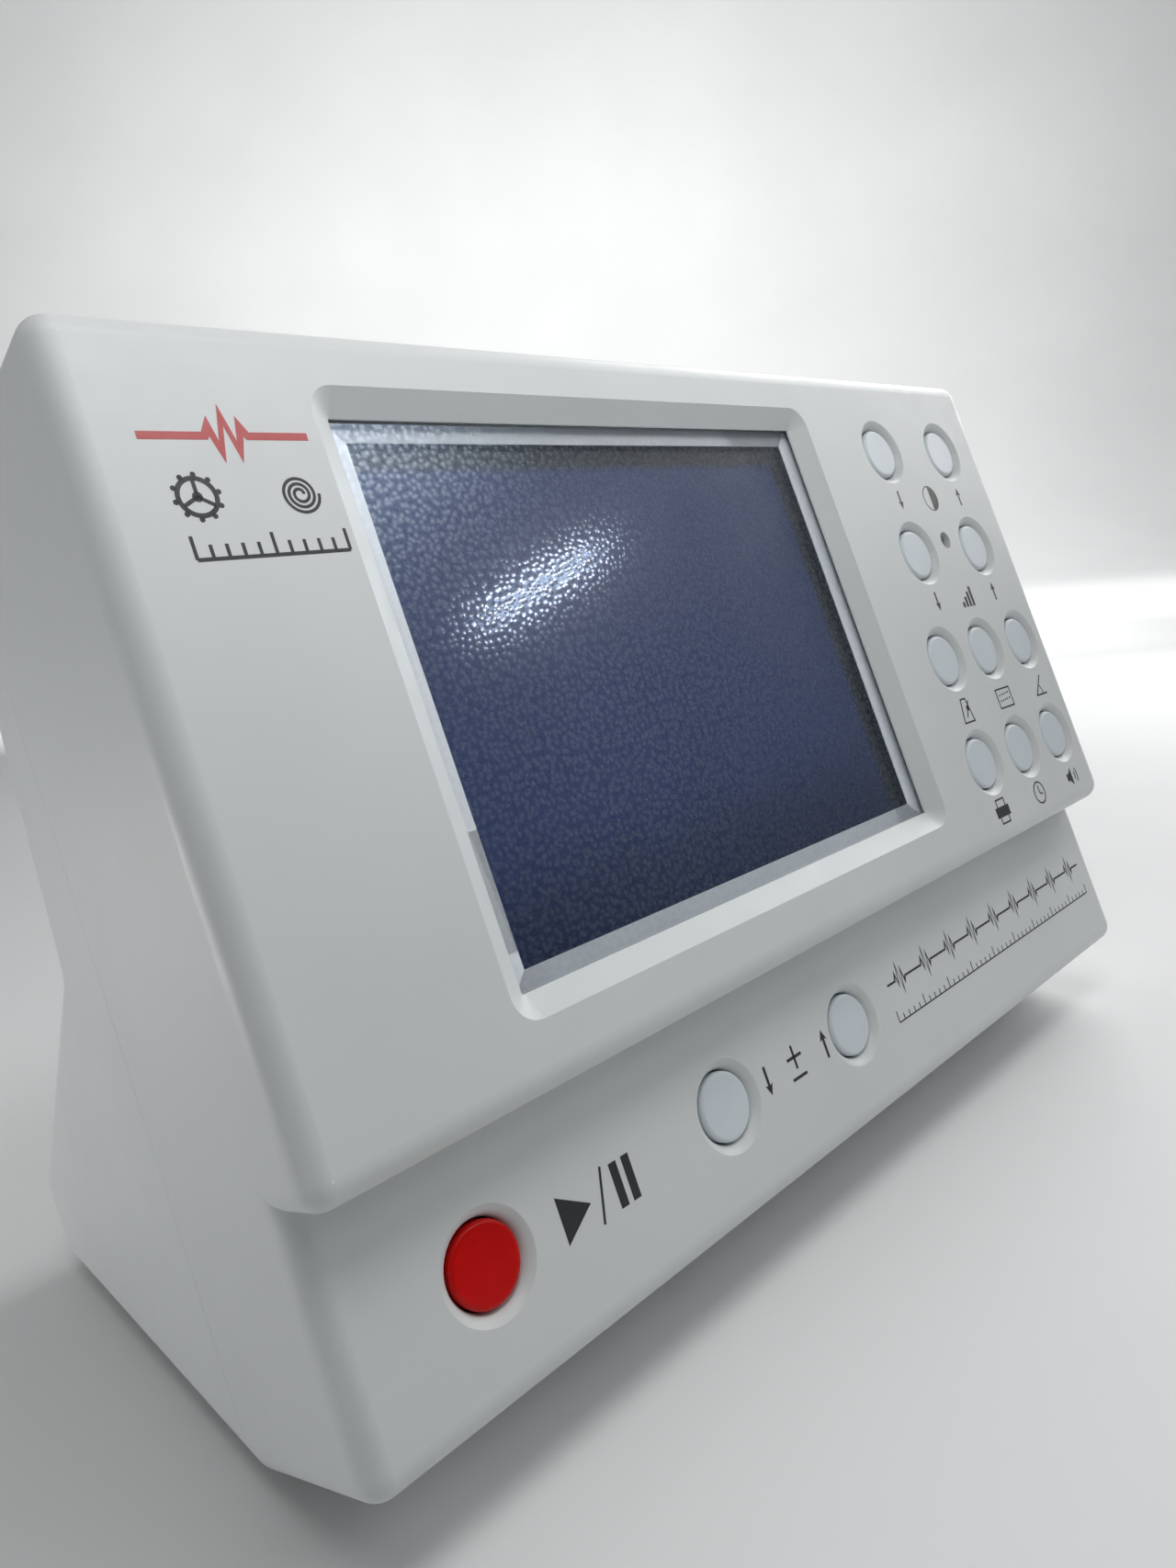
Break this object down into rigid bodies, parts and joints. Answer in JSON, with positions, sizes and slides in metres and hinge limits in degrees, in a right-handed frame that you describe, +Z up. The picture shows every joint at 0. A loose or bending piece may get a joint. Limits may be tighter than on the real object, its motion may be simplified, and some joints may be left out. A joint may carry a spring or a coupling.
{
  "type": "timegrapher",
  "caption": "Bench timegrapher: tilted plastic housing with a recessed display, round push buttons beside and below it, and rear sockets for power, sensor and printer.",
  "frame": {"origin": "on the table, under the middle of the whole instrument's box", "axes": "+Z up; +X to the right for someone facing the display; +Y from the display to the back"},
  "size_m": [0.262, 0.1319, 0.1824],
  "materials": {
    "housing_plastic": "moulded ABS, fine satin grain",
    "cap_grey": "moulded cap, satin",
    "cap_red": "moulded cap, glossy deep red",
    "clear_window": "clear acrylic",
    "clear_film": "clear pebbled protective film",
    "white_mask": "white printed border",
    "black_foam": "thin foam",
    "black_bezel": "blackened sheet steel",
    "display_panel": "liquid crystal panel, switched off, violet-navy",
    "diffuser_white": "light guide and diffuser",
    "circuit_board": "green solder mask",
    "chip_black": "moulded epoxy",
    "capacitor_sleeve": "shrink sleeve",
    "switch_black": "moulded",
    "socket_black": "moulded",
    "ribbon_grey": "flat cable",
    "lamp_grey": "unlit lamp lens",
    "turned_brass": "turned brass",
    "zinc_steel": "zinc plated",
    "nickel_plate": "bright nickel plate",
    "foot_rubber": "soft moulded rubber",
    "label_silver": "blank satin foil"
  },
  "bodies": {
    "instrument": {"front_housing": "housing_plastic", "rear_housing": "housing_plastic", "window_gasket": "black_foam", "display_window": "clear_window", "protective_film": "clear_film", "display_mask": "white_mask", "display_bezel": "black_bezel", "display_glass": "display_panel", "display_backlight": "diffuser_white", "display_board": "circuit_board", "main_board": "circuit_board", "board_standoffs": "turned_brass", "board_screws": "zinc_steel", "main_board_chips": "chip_black", "electrolytic_capacitors": "capacitor_sleeve", "piezo_sounder": "socket_black", "right_key_board": "circuit_board", "lower_key_board": "circuit_board", "key_board_screws": "zinc_steel", "tactile_switches": "switch_black", "indicator_lamp": "lamp_grey", "board_header": "socket_black", "right_key_ribbon": "ribbon_grey", "lower_key_ribbon": "ribbon_grey", "dc_inlet": "socket_black", "dc_inlet_pin": "nickel_plate", "dc_inlet_nut": "nickel_plate", "sensor_socket": "nickel_plate", "sensor_socket_nut": "nickel_plate", "printer_port_shell": "nickel_plate", "printer_port_insulator": "socket_black", "printer_port_jackscrews": "nickel_plate", "printer_port_pins": "turned_brass", "housing_screws": "zinc_steel", "rubber_feet": "foot_rubber", "rating_label": "label_silver"},
    "contrast_down_button": {"contrast_down_button": "cap_grey"},
    "contrast_up_button": {"contrast_up_button": "cap_grey"},
    "signal_down_button": {"signal_down_button": "cap_grey"},
    "signal_up_button": {"signal_up_button": "cap_grey"},
    "beat_rate_button": {"beat_rate_button": "cap_grey"},
    "display_mode_button": {"display_mode_button": "cap_grey"},
    "lift_angle_button": {"lift_angle_button": "cap_grey"},
    "print_button": {"print_button": "cap_grey"},
    "period_button": {"period_button": "cap_grey"},
    "sound_button": {"sound_button": "cap_grey"},
    "start_pause_button": {"start_pause_button": "cap_red"},
    "value_down_button": {"value_down_button": "cap_grey"},
    "value_up_button": {"value_up_button": "cap_grey"}
  },
  "joints": [
    {"name": "contrast_down_press", "type": "slide", "parent": "instrument", "child": "contrast_down_button", "axis": [0, 0.9397, -0.342], "range_m": [0, 0.0005], "stiffness_N_per_m": 1000},
    {"name": "contrast_up_press", "type": "slide", "parent": "instrument", "child": "contrast_up_button", "axis": [0, 0.9397, -0.342], "range_m": [0, 0.0005], "stiffness_N_per_m": 1000},
    {"name": "signal_down_press", "type": "slide", "parent": "instrument", "child": "signal_down_button", "axis": [0, 0.9397, -0.342], "range_m": [0, 0.0005], "stiffness_N_per_m": 1000},
    {"name": "signal_up_press", "type": "slide", "parent": "instrument", "child": "signal_up_button", "axis": [0, 0.9397, -0.342], "range_m": [0, 0.0005], "stiffness_N_per_m": 1000},
    {"name": "beat_rate_press", "type": "slide", "parent": "instrument", "child": "beat_rate_button", "axis": [0, 0.9397, -0.342], "range_m": [0, 0.0005], "stiffness_N_per_m": 1000},
    {"name": "display_mode_press", "type": "slide", "parent": "instrument", "child": "display_mode_button", "axis": [0, 0.9397, -0.342], "range_m": [0, 0.0005], "stiffness_N_per_m": 1000},
    {"name": "lift_angle_press", "type": "slide", "parent": "instrument", "child": "lift_angle_button", "axis": [0, 0.9397, -0.342], "range_m": [0, 0.0005], "stiffness_N_per_m": 1000},
    {"name": "print_press", "type": "slide", "parent": "instrument", "child": "print_button", "axis": [0, 0.9397, -0.342], "range_m": [0, 0.0005], "stiffness_N_per_m": 1000},
    {"name": "period_press", "type": "slide", "parent": "instrument", "child": "period_button", "axis": [0, 0.9397, -0.342], "range_m": [0, 0.0005], "stiffness_N_per_m": 1000},
    {"name": "sound_press", "type": "slide", "parent": "instrument", "child": "sound_button", "axis": [0, 0.9397, -0.342], "range_m": [0, 0.0005], "stiffness_N_per_m": 1000},
    {"name": "start_pause_press", "type": "slide", "parent": "instrument", "child": "start_pause_button", "axis": [0, 0.9397, -0.342], "range_m": [0, 0.0005], "stiffness_N_per_m": 1000},
    {"name": "value_down_press", "type": "slide", "parent": "instrument", "child": "value_down_button", "axis": [0, 0.9397, -0.342], "range_m": [0, 0.0005], "stiffness_N_per_m": 1000},
    {"name": "value_up_press", "type": "slide", "parent": "instrument", "child": "value_up_button", "axis": [0, 0.9397, -0.342], "range_m": [0, 0.0005], "stiffness_N_per_m": 1000}
  ]
}
